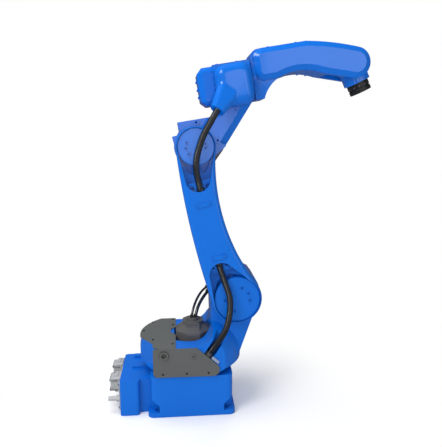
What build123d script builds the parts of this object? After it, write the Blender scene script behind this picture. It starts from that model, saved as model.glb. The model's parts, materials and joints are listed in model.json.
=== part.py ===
from build123d import *
import os
from math import asin, atan2, cos, radians, sin, sqrt, tan

os.makedirs("parts", exist_ok=True)

# A six-axis industrial robot arm, in millimetres. The origin lies on the swivel axis at floor
# level, X points forward, Y to the robot's left and Z up. "Near" is the robot's right side, -Y.

# Axes and rest pose
shoulder_offset = 177
shoulder_height = 472
arm_span = 595
elbow_offset = 207
forearm_span = 650
arm_lean = 15
forearm_tilt = 9.5
hand_drop = 26

# Shared clearances
running_gap = 5
fit_gap = 0.4
cut_overrun = 30

# Base
base_length = 320
base_width = 310
base_height = 168
base_corner = 22
foot_thickness = 20
foot_overhang = 11
foot_bolt_inset_x = 25
foot_bolt_inset_y = 27
foot_bolt_radius = 9
pocket_length = 34
pocket_width = 40
pocket_height = 47
pocket_slope_rise = 31
rear_box_back = 281
rear_box_length = 76
rear_box_width = 260
rear_box_height = 142
rear_box_corner = 12
waist_width = 212
rib_thickness = 26
rib_height = 9
rib_length = 80
rib_spread = 100
panel_width = 236
panel_height = 116
panel_thickness = 4
panel_corner = 8
connector_width = 62
connector_depth = 22
connector_hood_depth = 18
connector_hood_margin = 5
power_connector_height = 80
power_connector_rise = 100
power_connector_y = 72
signal_connector_height = 62
signal_connector_rise = 98
signal_connector_y = -32
lever_width = 12
lever_length = 36
lever_thickness = 4
fitting_radius = 9
fitting_nut_radius = 13
fitting_nut_length = 12
fitting_nut_sides = 6
fitting_length = 44
fitting_rise = 58
fitting_shift = 95

# Turret
bearing_radius = 140
bearing_height = 7
turret_radius = 205
turret_half_width = 158
turret_chamfer = 22
dome_height = 192
dome_round = 127
deck_height = 110
scoop_front = 85
scoop_round = 70
well_radius = 92
well_shift = -5
well_depth = 70
well_back_lap = 6
flat_start_y = 30
flat_end_x = 150
flat_end_y = 110
upright_half_width = 80
upright_radius = 98
upright_toe_radius = 26
upright_toe_x = 165
upright_heel_x = 112
upright_toe_rise = 46
groove_depth = 40
groove_margin = 6
bracket_length = 20
bracket_depth = 30
guard_length = 34
guard_width = 10
guard_thickness = 6
guard_slope = -42
guard_shift = 30
guard_drop = 10

# Turret covers
cover_sheet = 3
side_cover_thickness = 6
top_cover_edge = 60
top_cover_notch_depth = 20
top_cover_notch_width = 82
top_cover_notch_floor = 34
top_cover_notch_y = 17
side_cover_back = 147
side_cover_top_front = 20
side_cover_nose_x = 82
side_cover_nose_rise = 21
side_cover_nose_radius = 26
side_cover_heel_radius = 16
side_cover_corner = 3
side_cover_drop = 3
grommet_x = -105
grommet_rise = 85
grommet_radius = 17
grommet_hole_radius = 11
grommet_thickness = 5
pin_hole_x = 7
pin_hole_rise = 78
pin_hole_radius = 5

# Motors
swivel_motor_radius = 76
swivel_motor_height = 91
swivel_shoulder_height = 22
swivel_cap_radius = 45
swivel_cap_height = 15
swivel_hub_radius = 24
swivel_hub_height = 7
swivel_motor_x = 11
motor_facets = 8
shoulder_motor_radius = 72
shoulder_motor_length = 118
shoulder_cap_radius = 62
shoulder_cap_length = 34
motor_flange_size = 150
motor_flange_thickness = 14
motor_flange_corner = 18
plug_wall = 4
plug_length = 60
elbow_motor_radius = 55
elbow_motor_length = 96
elbow_cap_radius = 47
elbow_cap_length = 26
elbow_flange_size = 118

# Lower arm
arm_thickness = 80
arm_low_radius = 95
arm_high_radius = 73
arm_waist_radius = 757
arm_back_radius = 3000
arm_edge_round = 20
recess_depth = 34
recess_well_depth = 54
recess_well_share = 0.5
low_recess_radius = 88
low_tongue_radius = 47
low_tongue_u = -32
low_tongue_v = 112
high_recess_radius = 68
high_tongue_radius = 45
high_tongue_u = -24
high_tongue_drop = 115
disc_gap = 0.8
disc_setback = 12
disc_rim = 4
boss_radius = 7
boss_height = 3
boss_hole_radius = 3.5
low_boss_circle = 48
low_boss_angles = (55, 15, -20, -119, 168)
high_boss_circle = 36
high_boss_angles = (142, 175, 210, -22, 2)
reducer_radius = 70
elbow_reducer_radius = 56
clamp_thickness = 14
clamp_bar_width = 17
clamp_stem_length = 20
clamp_stem_width = 44
conduit_hole_depth = 24
pad_length = 58
pad_width = 16
pad_thickness = 3
low_pad_u = -27
low_pad_v = 181
high_pad_u = -30
high_pad_drop = 209
stop_width = 30
stop_length = 90
stop_rise = 56
stop_thickness = 24

# Conduits and motor leads
conduit_radius = 12
conduit_depth = 16
conduit_proud = 17
lower_route_shares = (
    (0.350, 0.517, 0.00),
    (0.452, 0.568, 0.10),
    (0.559, 0.636, 0.38),
    (0.667, 0.710, 0.75),
    (0.751, 0.784, 0.96),
    (0.808, 0.873, 1.00),
    (0.831, 0.966, 0.95),
    (0.815, 1.051, 0.86),
)
low_climb_shares = ((0.91, 0.89, 0.61), (0.99, 1.32, 0.15), (1.00, 1.70, 0.00))
high_climb_shares = (
    (1.00, -2.10, 0.00),
    (0.97, -1.52, 0.15),
    (0.79, -0.99, 0.58),
    (0.28, -0.49, 0.83),
    (-0.54, -0.01, 0.97),
    (-1.50, 0.49, 0.92),
)
power_lead_radius = 6.5
signal_lead_radius = 5
power_lead_lift = 2.8
signal_lead_lift = 1.8
bend_run_share = 0.45

# Elbow
elbow_half_width = 74
elbow_hub_radius = 78
elbow_lobe_radius = 52
elbow_lobe_s = 82
elbow_lobe_rise = 22
elbow_shoulder_back = 49
elbow_shoulder_front = 96
elbow_shoulder_drop = 110
elbow_boss_radius = 11
elbow_boss_hole_radius = 4.5
elbow_boss_circle = 88
elbow_boss_angles = (77, 5)
elbow_boss_height = 6
elbow_bevel = 27
elbow_motor_s = 44
elbow_motor_drop = 24
elbow_motor_turn = 45
roll_box_start = 112
roll_box_end = 250
roll_box_width = 158
roll_box_height = 144
roll_box_corner = 26
roll_cap_start = 52
roll_cap_width = 140
roll_cap_height = 140
roll_cap_corner = 22
roll_cap_chamfer = 20
roll_cover_start = 113
roll_cover_end = 248
roll_cover_top = 66
roll_cover_bottom = -88
roll_cover_corner = 40
roll_cover_depth = 52
roll_cover_round = 34
neck_width = 54
neck_depth = 42
neck_corner = 20
neck_root_corner = 24
neck_fillet = 32
neck_mouth_s = 98
neck_mouth_t = -94
neck_mouth_depth = 68
neck_root_width = 96
neck_root_thickness = 50
neck_root_s = 162
neck_root_t = -22
neck_bore_depth = 26
neck_lead = 32

# Forearm
roll_bearing_radius = 73
roll_flange_start = 257
roll_flange_radius = 76
roll_flange_length = 33
roll_flange_rim = 11
forearm_half_width = 62
forearm_crest = 105
forearm_crest_share = 0.542
forearm_bend_share = 0.802
forearm_bend_t = 84
forearm_end_radius = 57
forearm_end_top_angle = 73
forearm_end_bottom_angle = -113
forearm_belly = -10
forearm_belly_share = 0.232
forearm_arch_share = 0.435
forearm_arch_t = 4
forearm_arch_end_share = 0.669
forearm_arch_end_t = -19
forearm_rear_corner = 32
forearm_throat_s = 312
forearm_throat_t = -40
forearm_throat_share = 0.344
forearm_cover_thickness = 20
forearm_cover_bevel = 20
forearm_cover_bevel_depth = 13
fork_share = 0.72
fork_half_width = 48

# Hand and tool flange
hand_hub_radius = 50
hand_radius = 49
hand_length = 74
hand_corner = 36
hand_collar_radius = 42
hand_collar_length = 20
trunnion_radius = 34
flange_neck_radius = 39
flange_neck_length = 4
flange_radius = 42
flange_length = 15
flange_pcd = 50
flange_bolt_count = 4
flange_bolt_radius = 3
flange_pilot_radius = 15.75
flange_pilot_depth = 6

# Places that follow from the driving dimensions
lean = radians(arm_lean)
tilt = radians(forearm_tilt)
drop = radians(hand_drop)
arm_along = Vector(-sin(lean), 0, cos(lean))
arm_across = Vector(cos(lean), 0, sin(lean))
roll_along = Vector(cos(tilt), 0, sin(tilt))
roll_up = Vector(-sin(tilt), 0, cos(tilt))
hand_along = Vector(sin(drop), 0, -cos(drop))
shoulder = Vector(shoulder_offset, 0, shoulder_height)
elbow = shoulder + arm_along * arm_span
roll_start = elbow + roll_up * elbow_offset
wrist = roll_start + roll_along * forearm_span

turret_bottom = base_height + bearing_height
turret_top = turret_bottom + dome_height
deck = turret_bottom + deck_height
cover_half_width = turret_half_width + side_cover_thickness
arm_far = -upright_half_width - running_gap
arm_near = arm_far - arm_thickness
recess_floor = arm_near + recess_depth
recess_well_floor = arm_near + recess_well_depth
disc_face = arm_near + disc_setback
conduit_y = arm_near + conduit_depth
high_tongue_v = arm_span - high_tongue_drop
high_pad_v = arm_span - high_pad_drop
foot_bolt_span_x = base_length - 2 * foot_bolt_inset_x
foot_bolt_span_y = base_width - 2 * foot_bolt_inset_y
roll_cover_seat = -roll_box_width / 2


def side_plane(y):
    """Upright plane across the robot; its sketch axes are X and Z and it faces the near side."""
    return Plane(origin=(0, y, 0), x_dir=(1, 0, 0), z_dir=(0, -1, 0))


def arm_plane(y):
    """Side plane of the lower arm: u across the arm and v along it, from the shoulder axis."""
    return Plane(origin=(shoulder.X, y, shoulder.Z), x_dir=arm_across, z_dir=(0, -1, 0))


def forearm_plane(y):
    """Side plane of the forearm: s along the roll axis and t above it."""
    return Plane(origin=(roll_start.X, y, roll_start.Z), x_dir=roll_along, z_dir=(0, -1, 0))


def roll_section(s):
    """Plane square to the roll axis at the distance s along it; its sketch axes are Y and t."""
    return Plane(origin=roll_start + roll_along * s, x_dir=(0, 1, 0), z_dir=roll_along)


def hand_section(distance):
    """Plane square to the hand's axis at a distance from the wrist axis."""
    return Plane(origin=wrist + hand_along * distance, x_dir=(0, 1, 0), z_dir=hand_along)


def arm_point(u, v, y):
    """A point of the lower arm in the robot's frame."""
    place = shoulder + arm_across * u + arm_along * v
    return Vector(place.X, y, place.Z)


def forearm_point(s, t, y):
    """A point of the forearm in the robot's frame."""
    place = roll_start + roll_along * s + roll_up * t
    return Vector(place.X, y, place.Z)


def keep(piece, name):
    """Label a finished piece and write it to a file of its own."""
    piece.part.label = name
    export_step(piece.part, f"parts/{name}.step")


def lead(points, radius, name):
    """A tube along a route of straight runs, joined by the largest arcs that the runs allow."""
    runs = [end - start for start, end in zip(points, points[1:])]
    radii = []
    for before, after in zip(runs, runs[1:]):
        shorter = min(before.length, after.length)
        radii.append(bend_run_share * shorter / tan(radians(before.get_angle(after)) / 2))
    with BuildPart() as tube:
        with BuildLine() as path:
            FilletPolyline(*points, radius=radii)
        with BuildSketch(Plane(origin=points[0], z_dir=runs[0])):
            Circle(radius)
        sweep(path=path.wires()[0])
    print(name, "length", round(path.wires()[0].length), "bends", [round(r) for r in radii])
    keep(tube, name)


# Routes of the two conduits, from the turret to the lower arm and from there to the roll cover
neck_root = forearm_point(neck_root_s, neck_root_t, roll_cover_seat - neck_root_thickness / 2)
neck_mouth = forearm_point(neck_mouth_s, neck_mouth_t, roll_cover_seat - neck_mouth_depth)
neck_way = (neck_mouth - neck_root).normalized()
neck_side = Vector(0, 1, 0).cross(neck_way)
groove_y = -turret_half_width + groove_depth / 2
proud_y = arm_near - conduit_proud
low_hole_v = low_tongue_v + low_tongue_radius + conduit_hole_depth
high_hole_v = high_tongue_v - high_tongue_radius - conduit_hole_depth
lower_conduit_route = [
    Vector(shoulder_offset * x, groove_y + (proud_y - groove_y) * y, shoulder_height * z)
    for x, z, y in lower_route_shares
]
for u, v, y in low_climb_shares:
    depth = conduit_y + (proud_y - conduit_y) * y
    lower_conduit_route.append(arm_point(low_tongue_u * u, low_recess_radius * v, depth))
lower_conduit_route.append(arm_point(low_tongue_u, low_hole_v, conduit_y))
upper_conduit_route = [arm_point(high_tongue_u, high_hole_v, conduit_y)]
for u, v, y in high_climb_shares:
    depth = conduit_y + (proud_y - conduit_y) * y
    upper_conduit_route.append(
        arm_point(high_tongue_u * u, arm_span + high_recess_radius * v, depth)
    )
upper_conduit_route.append(neck_mouth + neck_way * neck_lead)
upper_conduit_route.append(neck_mouth - neck_way * neck_bore_depth)
bracket_way = (lower_conduit_route[1] - lower_conduit_route[0]).normalized()
bracket_end = lower_conduit_route[0] - bracket_way * bracket_length

# Base casting: a square block under the swivel axis, a lower box behind it and a bolted foot
rear_box_x = -rear_box_back + rear_box_length / 2
waist_start = -rear_box_back + rear_box_length
with BuildPart() as base_casting:
    with BuildSketch():
        RectangleRounded(base_length, base_width, base_corner)
    extrude(amount=base_height)
    with BuildSketch():
        RectangleRounded(base_length + 2 * foot_overhang, base_width, base_corner)
    extrude(amount=foot_thickness)
    with BuildSketch():
        with Locations((rear_box_x, 0)):
            RectangleRounded(rear_box_length, rear_box_width, rear_box_corner)
    extrude(amount=rear_box_height)
    with BuildSketch():
        with Locations((waist_start - rear_box_corner, 0)):
            Rectangle(rear_box_corner - waist_start, waist_width, align=(Align.MIN, Align.CENTER))
    extrude(amount=rear_box_height)
    with BuildSketch(Plane.XY.offset(rear_box_height)):
        with Locations((-base_length / 2, rib_spread), (-base_length / 2, 0)):
            Rectangle(rib_length, rib_thickness, align=(Align.MAX, Align.CENTER))
    extrude(amount=rib_height)
    for end in (-1, 1):
        for pocket_y in (base_width / 2, pocket_width - base_width / 2):
            with BuildSketch(side_plane(pocket_y)):
                with BuildLine():
                    Polyline(
                        (end * (base_length / 2 - pocket_length), foot_thickness),
                        (end * (base_length / 2 - pocket_length), pocket_height),
                        (end * base_length / 2, pocket_height + pocket_slope_rise),
                        (end * base_length / 2, foot_thickness),
                        close=True,
                    )
                make_face()
            extrude(amount=pocket_width, mode=Mode.SUBTRACT)
    with BuildSketch():
        with GridLocations(foot_bolt_span_x, foot_bolt_span_y, 2, 2):
            Circle(foot_bolt_radius)
    extrude(amount=foot_thickness, mode=Mode.SUBTRACT)
keep(base_casting, "base_casting")

# Connector panel and what is plugged into it, on the back of the rear box
panel_plane = Plane(origin=(-rear_box_back, 0, 0), x_dir=(0, -1, 0), z_dir=(-1, 0, 0))
panel_face = panel_plane.offset(panel_thickness)
panel_rise = rear_box_height - panel_height / 2 - panel_corner
with BuildPart() as connector_panel:
    with BuildSketch(panel_plane):
        with Locations((0, panel_rise)):
            RectangleRounded(panel_width, panel_height, panel_corner)
    extrude(amount=panel_thickness)
keep(connector_panel, "connector_panel")


def connector(y, rise, height, name):
    """A heavy-duty connector: a housing on the panel, a hood on it and a lever on each side."""
    with BuildPart() as plug:
        with BuildSketch(panel_face):
            with Locations((-y, rise)):
                RectangleRounded(connector_width, height, connector_hood_margin)
        extrude(amount=connector_depth)
        with BuildSketch(panel_face.offset(connector_depth)):
            with Locations((-y, rise)):
                RectangleRounded(
                    connector_width - 2 * connector_hood_margin,
                    height - 2 * connector_hood_margin,
                    connector_hood_margin,
                )
        extrude(amount=connector_hood_depth)
        with BuildSketch(panel_face.offset(connector_depth - lever_width)):
            with Locations((-y, rise + height / 2), (-y, rise - height / 2)):
                Rectangle(lever_length, 2 * lever_thickness)
        extrude(amount=lever_width)
    keep(plug, name)


connector(power_connector_y, power_connector_rise, power_connector_height, "power_connector")
connector(signal_connector_y, signal_connector_rise, signal_connector_height, "signal_connector")

with BuildPart() as air_fitting:
    with BuildSketch(panel_face):
        with Locations((fitting_shift, fitting_rise)):
            RegularPolygon(fitting_nut_radius, fitting_nut_sides)
    extrude(amount=fitting_nut_length)
    with BuildSketch(panel_face):
        with Locations((fitting_shift, fitting_rise)):
            Circle(fitting_radius)
    extrude(amount=fitting_length)
keep(air_fitting, "air_fitting")

with BuildPart() as swivel_bearing:
    with BuildSketch(Plane.XY.offset(base_height)):
        Circle(bearing_radius)
    extrude(amount=bearing_height)
keep(swivel_bearing, "swivel_bearing")

# Turret casting: a domed drum cut down to a deck behind, a motor well and an upright in front
toe_z = turret_bottom + upright_toe_rise
with BuildPart() as turret_casting:
    with BuildSketch(Plane.XZ):
        with BuildLine():
            Polyline(
                (0, turret_top),
                (0, turret_bottom),
                (turret_radius - turret_chamfer, turret_bottom),
                (turret_radius, turret_bottom + turret_chamfer),
                (turret_radius, turret_top - dome_round),
            )
            RadiusArc(
                (turret_radius, turret_top - dome_round),
                (turret_radius - dome_round, turret_top),
                -dome_round,
            )
            Line((turret_radius - dome_round, turret_top), (0, turret_top))
        make_face()
    revolve(axis=Axis.Z)
    split(bisect_by=Plane.XZ.offset(turret_half_width), keep=Keep.BOTTOM)
    split(bisect_by=Plane.XZ.offset(-turret_half_width), keep=Keep.TOP)
    with BuildSketch(Plane.XZ.offset(-turret_radius)):
        with BuildLine():
            Polyline(
                (scoop_front - scoop_round, deck),
                (-turret_radius - cut_overrun, deck),
                (-turret_radius - cut_overrun, turret_top + cut_overrun),
                (scoop_front, turret_top + cut_overrun),
                (scoop_front, deck + scoop_round),
            )
            RadiusArc(
                (scoop_front, deck + scoop_round),
                (scoop_front - scoop_round, deck),
                scoop_round,
            )
        make_face()
    extrude(amount=2 * turret_radius, mode=Mode.SUBTRACT)
    with BuildSketch(Plane.XY.offset(turret_bottom)):
        with BuildLine():
            Polyline(
                (-turret_radius - cut_overrun, -flat_start_y),
                (-turret_radius, -flat_start_y),
                (-flat_end_x, -flat_end_y),
                (-side_cover_back, -turret_half_width - cut_overrun),
                (-turret_radius - cut_overrun, -turret_half_width - cut_overrun),
                close=True,
            )
        make_face()
    extrude(amount=dome_height, mode=Mode.SUBTRACT)
    with BuildSketch(Plane.XY.offset(deck - well_depth)):
        with Locations((well_shift, 0)):
            Circle(well_radius)
        with Locations((-top_cover_edge - well_back_lap, 0)):
            Rectangle(
                2 * well_radius,
                2 * well_radius,
                align=(Align.MIN, Align.CENTER),
                mode=Mode.INTERSECT,
            )
    extrude(amount=dome_height, mode=Mode.SUBTRACT)
    with BuildSketch(side_plane(-turret_half_width)):
        for place in (bracket_end, *lower_conduit_route[0:4]):
            with Locations((place.X, place.Z)):
                Circle(conduit_radius + groove_margin)
        make_hull()
    extrude(amount=-groove_depth, mode=Mode.SUBTRACT)
    with BuildSketch(side_plane(upright_half_width)):
        with Locations((shoulder.X, shoulder.Z)):
            Circle(upright_radius)
        with Locations((upright_toe_x, toe_z), (upright_heel_x, toe_z)):
            Circle(upright_toe_radius)
        make_hull()
    extrude(amount=2 * upright_half_width)
keep(turret_casting, "turret_casting")

# Grey sheet covers of the turret
with BuildPart() as turret_top_cover:
    with BuildSketch(Plane.XY.offset(deck)):
        Circle(turret_radius)
        with Locations((-top_cover_edge, 0)):
            Rectangle(
                turret_radius,
                2 * cover_half_width,
                align=(Align.MAX, Align.CENTER),
                mode=Mode.INTERSECT,
            )
        with BuildLine():
            Polyline(
                (-turret_radius - cut_overrun, -flat_start_y),
                (-turret_radius, -flat_start_y),
                (-flat_end_x, -flat_end_y),
                (-side_cover_back, -turret_half_width - cut_overrun),
                (-turret_radius - cut_overrun, -turret_half_width - cut_overrun),
                close=True,
            )
        make_face(mode=Mode.SUBTRACT)
        with BuildLine(Plane.XY.offset(deck) * Location((-top_cover_edge, top_cover_notch_y))):
            Polyline(
                (cut_overrun, top_cover_notch_width / 2),
                (0, top_cover_notch_width / 2),
                (-top_cover_notch_depth, top_cover_notch_floor / 2),
                (-top_cover_notch_depth, -top_cover_notch_floor / 2),
                (0, -top_cover_notch_width / 2),
                (cut_overrun, -top_cover_notch_width / 2),
                close=True,
            )
        make_face(mode=Mode.SUBTRACT)
    extrude(amount=cover_sheet)
keep(turret_top_cover, "turret_top_cover")

with BuildPart() as turret_side_cover:
    with BuildSketch(side_plane(-turret_half_width)):
        with Locations(
            (side_cover_corner - side_cover_back, deck - side_cover_corner),
            (side_cover_top_front, deck - side_cover_corner),
        ):
            Circle(side_cover_corner)
        with Locations((side_cover_nose_x, turret_bottom + side_cover_nose_rise)):
            Circle(side_cover_nose_radius)
        with Locations(
            (
                side_cover_heel_radius - side_cover_back,
                turret_bottom - side_cover_drop + side_cover_heel_radius,
            )
        ):
            Circle(side_cover_heel_radius)
        make_hull()
        with Locations((grommet_x, turret_bottom + grommet_rise)):
            Circle(grommet_hole_radius, mode=Mode.SUBTRACT)
        with Locations((pin_hole_x, turret_bottom + pin_hole_rise)):
            Circle(pin_hole_radius, mode=Mode.SUBTRACT)
    extrude(amount=side_cover_thickness)
keep(turret_side_cover, "turret_side_cover")

with BuildPart() as side_grommet:
    with BuildSketch(side_plane(-cover_half_width)):
        with Locations((grommet_x, turret_bottom + grommet_rise)):
            Circle(grommet_radius)
            Circle(grommet_hole_radius, mode=Mode.SUBTRACT)
    extrude(amount=grommet_thickness)
keep(side_grommet, "side_grommet")

# Swivel motor in the well and shoulder motor on the far side of the upright
well_floor = deck - well_depth
swivel_shoulder_z = well_floor + swivel_motor_height
swivel_cap_z = swivel_shoulder_z + swivel_shoulder_height
swivel_hub_z = swivel_cap_z + swivel_cap_height
swivel_top = swivel_hub_z + swivel_hub_height
with BuildPart() as swivel_motor:
    with BuildSketch(Plane.XY.offset(well_floor)):
        with Locations((swivel_motor_x, 0)):
            RegularPolygon(swivel_motor_radius, motor_facets, rotation=180 / motor_facets)
    extrude(amount=swivel_motor_height)
    for level, radius in ((swivel_shoulder_z, swivel_motor_radius), (swivel_cap_z, swivel_cap_radius)):
        with BuildSketch(Plane.XY.offset(level)):
            with Locations((swivel_motor_x, 0)):
                RegularPolygon(radius, motor_facets, rotation=180 / motor_facets)
    loft()
    extrude(swivel_motor.faces().sort_by(Axis.Z)[-1], amount=swivel_cap_height)
    with BuildSketch(Plane.XY.offset(swivel_hub_z)):
        with Locations((swivel_motor_x, 0)):
            Circle(swivel_hub_radius)
    extrude(amount=swivel_hub_height)
keep(swivel_motor, "swivel_motor")


def side_motor(seat, centre, turn, flange, radius, length, cap_radius, cap_length):
    """A flanged motor that lies along +Y from its seat, with a plain end cap."""
    with BuildSketch(side_plane(seat)) as plate:
        with Locations((centre.X, centre.Z)):
            RectangleRounded(flange, flange, motor_flange_corner, rotation=turn)
    extrude(plate.sketch, amount=-motor_flange_thickness)
    with BuildSketch(side_plane(seat + motor_flange_thickness)) as body:
        with Locations((centre.X, centre.Z)):
            RegularPolygon(radius, motor_facets, rotation=180 / motor_facets + turn)
    extrude(body.sketch, amount=-length)
    with BuildSketch(side_plane(seat + motor_flange_thickness + length)) as cap:
        with Locations((centre.X, centre.Z)):
            Circle(cap_radius)
    extrude(cap.sketch, amount=-cap_length)


# Two motor leads from the swivel motor up to round plugs on the shoulder motor
power_lead_route = [
    Vector(22, -2, swivel_top + power_lead_lift),
    Vector(27.5, 6.3, 375),
    Vector(36, 21, 393),
    Vector(46.5, 40.5, 405.7),
    Vector(57.2, 61, 414.4),
    Vector(68, 82.3, 421),
    Vector(79, 104, 427),
]
signal_lead_route = [
    Vector(6, 0, swivel_top + signal_lead_lift),
    Vector(9, 4, 366),
    Vector(14, 13, 384),
    Vector(22, 30, 401),
    Vector(33, 54, 416),
    Vector(47, 82, 428),
    Vector(62, 108, 436),
    Vector(76.5, 127.9, 440.5),
]


def plug(route, radius):
    """A round plug that runs on from the end of a lead into the motor's body."""
    way = route[-1] - route[-2]
    with BuildSketch(Plane(origin=route[-1], z_dir=way)) as ring:
        Circle(radius + plug_wall)
    extrude(ring.sketch, amount=plug_length)


with BuildPart() as shoulder_motor:
    side_motor(
        upright_half_width,
        shoulder,
        0,
        motor_flange_size,
        shoulder_motor_radius,
        shoulder_motor_length,
        shoulder_cap_radius,
        shoulder_cap_length,
    )
    plug(power_lead_route, power_lead_radius)
    plug(signal_lead_route, signal_lead_radius)
keep(shoulder_motor, "shoulder_motor")
lead(power_lead_route, power_lead_radius, "power_lead")
lead(signal_lead_route, signal_lead_radius, "signal_lead")


# Lower arm: two round ends joined by a convex back and a waisted front, with a recess at each end
def flank_centre(low_reach, high_reach):
    """The point ahead of the arm at these distances from the shoulder and the elbow axis."""
    along = (arm_span**2 + low_reach**2 - high_reach**2) / (2 * arm_span)
    return Vector(sqrt(low_reach**2 - along**2), along)


def recess(radius, centre_v, tongue_radius, tongue_u, tongue_v):
    """Outline of a recess: the hull of the disc's circle and the circle of the tongue."""
    with Locations((0, centre_v)):
        Circle(radius)
    with Locations((tongue_u, tongue_v)):
        Circle(tongue_radius)
    make_hull()


def conduit_hole(start_v, u, downward):
    """A blind hole along the arm for the end of a conduit."""
    direction = arm_along * (-1 if downward else 1)
    mouth = Plane(origin=arm_point(u, start_v, conduit_y), x_dir=(0, 1, 0), z_dir=direction)
    with BuildSketch(mouth) as bore:
        Circle(conduit_radius + fit_gap)
    extrude(bore.sketch, amount=conduit_hole_depth + low_tongue_radius, mode=Mode.SUBTRACT)


low_end = Vector(0, 0)
high_end = Vector(0, arm_span)
waist = flank_centre(arm_low_radius + arm_waist_radius, arm_high_radius + arm_waist_radius)
back = flank_centre(arm_back_radius - arm_low_radius, arm_back_radius - arm_high_radius)
low_front = low_end + (waist - low_end).normalized() * arm_low_radius
high_front = high_end + (waist - high_end).normalized() * arm_high_radius
low_back = low_end - (back - low_end).normalized() * arm_low_radius
high_back = high_end - (back - high_end).normalized() * arm_high_radius
with BuildPart() as lower_arm_casting:
    with BuildSketch(arm_plane(arm_far)):
        with BuildLine():
            ThreePointArc(low_front, waist - Vector(arm_waist_radius, 0), high_front)
            ThreePointArc(high_front, high_end + Vector(0, arm_high_radius), high_back)
            ThreePointArc(high_back, back - Vector(arm_back_radius, 0), low_back)
            ThreePointArc(low_back, low_end - Vector(0, arm_low_radius), low_front)
        make_face()
    extrude(amount=arm_thickness)
    near_rim = lower_arm_casting.faces().sort_by(Axis.Y)[0].edges()
    fillet(near_rim, arm_edge_round)
    with BuildSketch(arm_plane(arm_near)):
        recess(low_recess_radius, 0, low_tongue_radius, low_tongue_u, low_tongue_v)
    extrude(amount=-recess_depth, mode=Mode.SUBTRACT)
    with BuildSketch(arm_plane(arm_near)):
        recess(high_recess_radius, arm_span, high_tongue_radius, high_tongue_u, high_tongue_v)
    extrude(amount=-recess_depth, mode=Mode.SUBTRACT)
    with BuildSketch(arm_plane(arm_near)):
        recess(
            low_recess_radius,
            0,
            low_tongue_radius,
            low_tongue_u * recess_well_share,
            low_tongue_v * recess_well_share,
        )
    extrude(amount=-recess_well_depth, mode=Mode.SUBTRACT)
    with BuildSketch(arm_plane(arm_near)):
        recess(
            high_recess_radius,
            arm_span,
            high_tongue_radius,
            high_tongue_u * recess_well_share,
            arm_span - high_tongue_drop * recess_well_share,
        )
    extrude(amount=-recess_well_depth, mode=Mode.SUBTRACT)
    conduit_hole(low_tongue_v, low_tongue_u, False)
    conduit_hole(high_tongue_v, high_tongue_u, True)
    with BuildSketch(arm_plane(arm_far)):
        with Locations((-arm_high_radius, arm_span + stop_rise)):
            Rectangle(stop_width, stop_length, align=(Align.MIN, Align.MAX))
    extrude(amount=stop_thickness)
keep(lower_arm_casting, "lower_arm_casting")


def disc(radius, centre_v, boss_circle, boss_angles, name):
    """A round cover on the floor of a recess, with a chamfered rim and small screw bosses."""
    with BuildPart() as cover:
        with BuildSketch(arm_plane(recess_well_floor)):
            with Locations((0, centre_v)):
                Circle(radius)
        extrude(amount=recess_well_depth - disc_setback)
        chamfer(cover.faces().sort_by(Axis.Y)[0].edges(), disc_rim / 2)
        with BuildSketch(arm_plane(disc_face)):
            for angle in boss_angles:
                with Locations((0, centre_v)):
                    with PolarLocations(boss_circle, 1, start_angle=angle):
                        Circle(boss_radius)
                        Circle(boss_hole_radius, mode=Mode.SUBTRACT)
        extrude(amount=boss_height)
    keep(cover, name)


disc(low_recess_radius - disc_gap, 0, low_boss_circle, low_boss_angles, "shoulder_disc")
disc(high_recess_radius - disc_gap, arm_span, high_boss_circle, high_boss_angles, "elbow_disc")


def clamp(radius, centre_v, tongue_radius, tongue_u, tongue_v, way, name):
    """A T-shaped bracket on the shelf of a recess, with a groove for the conduit."""
    bar_v = tongue_v + way * (tongue_radius - clamp_stem_length - clamp_bar_width / 2)
    with BuildPart() as bracket:
        with BuildSketch(arm_plane(recess_floor)):
            recess(radius - fit_gap, centre_v, tongue_radius - fit_gap, tongue_u, tongue_v)
            with BuildSketch(mode=Mode.INTERSECT):
                with Locations((tongue_u, bar_v)):
                    Rectangle(2 * tongue_radius, clamp_bar_width)
                with Locations((tongue_u, bar_v + way * tongue_radius / 2)):
                    Rectangle(clamp_stem_width, tongue_radius)
        extrude(amount=clamp_thickness)
        conduit_line = Plane(
            origin=arm_point(tongue_u, bar_v, conduit_y), x_dir=(0, 1, 0), z_dir=arm_along
        )
        with BuildSketch(conduit_line):
            Circle(conduit_radius + fit_gap)
        extrude(amount=2 * tongue_radius, both=True, mode=Mode.SUBTRACT)
    keep(bracket, name)


clamp(
    low_recess_radius,
    0,
    low_tongue_radius,
    low_tongue_u,
    low_tongue_v,
    1,
    "lower_conduit_clamp",
)
clamp(
    high_recess_radius,
    arm_span,
    high_tongue_radius,
    high_tongue_u,
    high_tongue_v,
    -1,
    "upper_conduit_clamp",
)

for pad_u, pad_v, pad_name in (
    (low_pad_u, low_pad_v, "lower_pad"),
    (high_pad_u, high_pad_v, "upper_pad"),
):
    with BuildPart() as pad:
        with BuildSketch(arm_plane(arm_near)):
            with Locations((pad_u, pad_v)):
                Rectangle(pad_length, pad_width)
        extrude(amount=pad_thickness)
    keep(pad, pad_name)

# Reducers between the moving castings
with BuildPart() as shoulder_reducer:
    with BuildSketch(side_plane(-upright_half_width)):
        with Locations((shoulder.X, shoulder.Z)):
            Circle(reducer_radius)
    extrude(amount=running_gap)
keep(shoulder_reducer, "shoulder_reducer")

with BuildPart() as elbow_reducer:
    with BuildSketch(side_plane(arm_far)):
        with Locations((elbow.X, elbow.Z)):
            Circle(elbow_reducer_radius)
    extrude(amount=arm_far + elbow_half_width)
keep(elbow_reducer, "elbow_reducer")

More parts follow.
